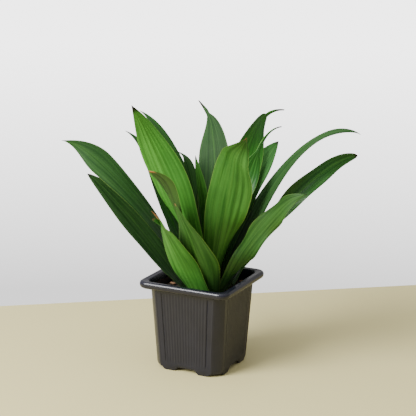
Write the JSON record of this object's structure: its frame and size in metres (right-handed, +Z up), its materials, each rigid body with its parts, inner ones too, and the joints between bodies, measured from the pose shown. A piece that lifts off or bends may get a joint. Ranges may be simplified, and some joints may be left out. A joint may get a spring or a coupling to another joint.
{
  "type": "potted dracaena",
  "caption": "Young strap-leaved foliage plant: a rosette of arching green leaves on a short cane, in potting mix in a square ribbed nursery pot.",
  "frame": {"origin": "middle of the pot on the surface it stands on, which is also within 2 mm of the middle of the whole plant's footprint", "axes": "+Z up; the pot's four sides face +X, -X, +Y and -Y"},
  "size_m": [0.2965, 0.1914, 0.292],
  "materials": {
    "pot": "satin",
    "potting_mix": "matte",
    "stem": "matte",
    "leaf": "satin",
    "bark": "matte"
  },
  "bodies": {
    "root": {"pot": "pot", "potting_mix": "potting_mix", "stem": "stem", "leaf_01": "leaf", "leaf_02": "leaf", "leaf_03": "leaf", "leaf_04": "leaf", "leaf_05": "leaf", "leaf_06": "leaf", "leaf_07": "leaf", "leaf_08": "leaf", "leaf_09": "leaf", "leaf_10": "leaf", "leaf_11": "leaf", "leaf_12": "leaf", "leaf_13": "leaf", "leaf_14": "leaf", "leaf_15": "leaf", "leaf_16": "leaf", "leaf_17": "leaf", "leaf_18": "leaf", "leaf_19": "leaf", "leaf_20": "leaf", "leaf_21": "leaf", "leaf_22": "leaf", "leaf_23": "leaf", "leaf_24": "leaf", "bark_chip_01": "bark", "bark_chip_02": "bark", "bark_chip_03": "bark", "bark_chip_04": "bark", "bark_chip_05": "bark", "bark_chip_06": "bark", "bark_chip_07": "bark", "bark_chip_08": "bark", "bark_chip_09": "bark", "bark_chip_10": "bark", "bark_chip_11": "bark", "bark_chip_12": "bark"}
  },
  "joints": []
}
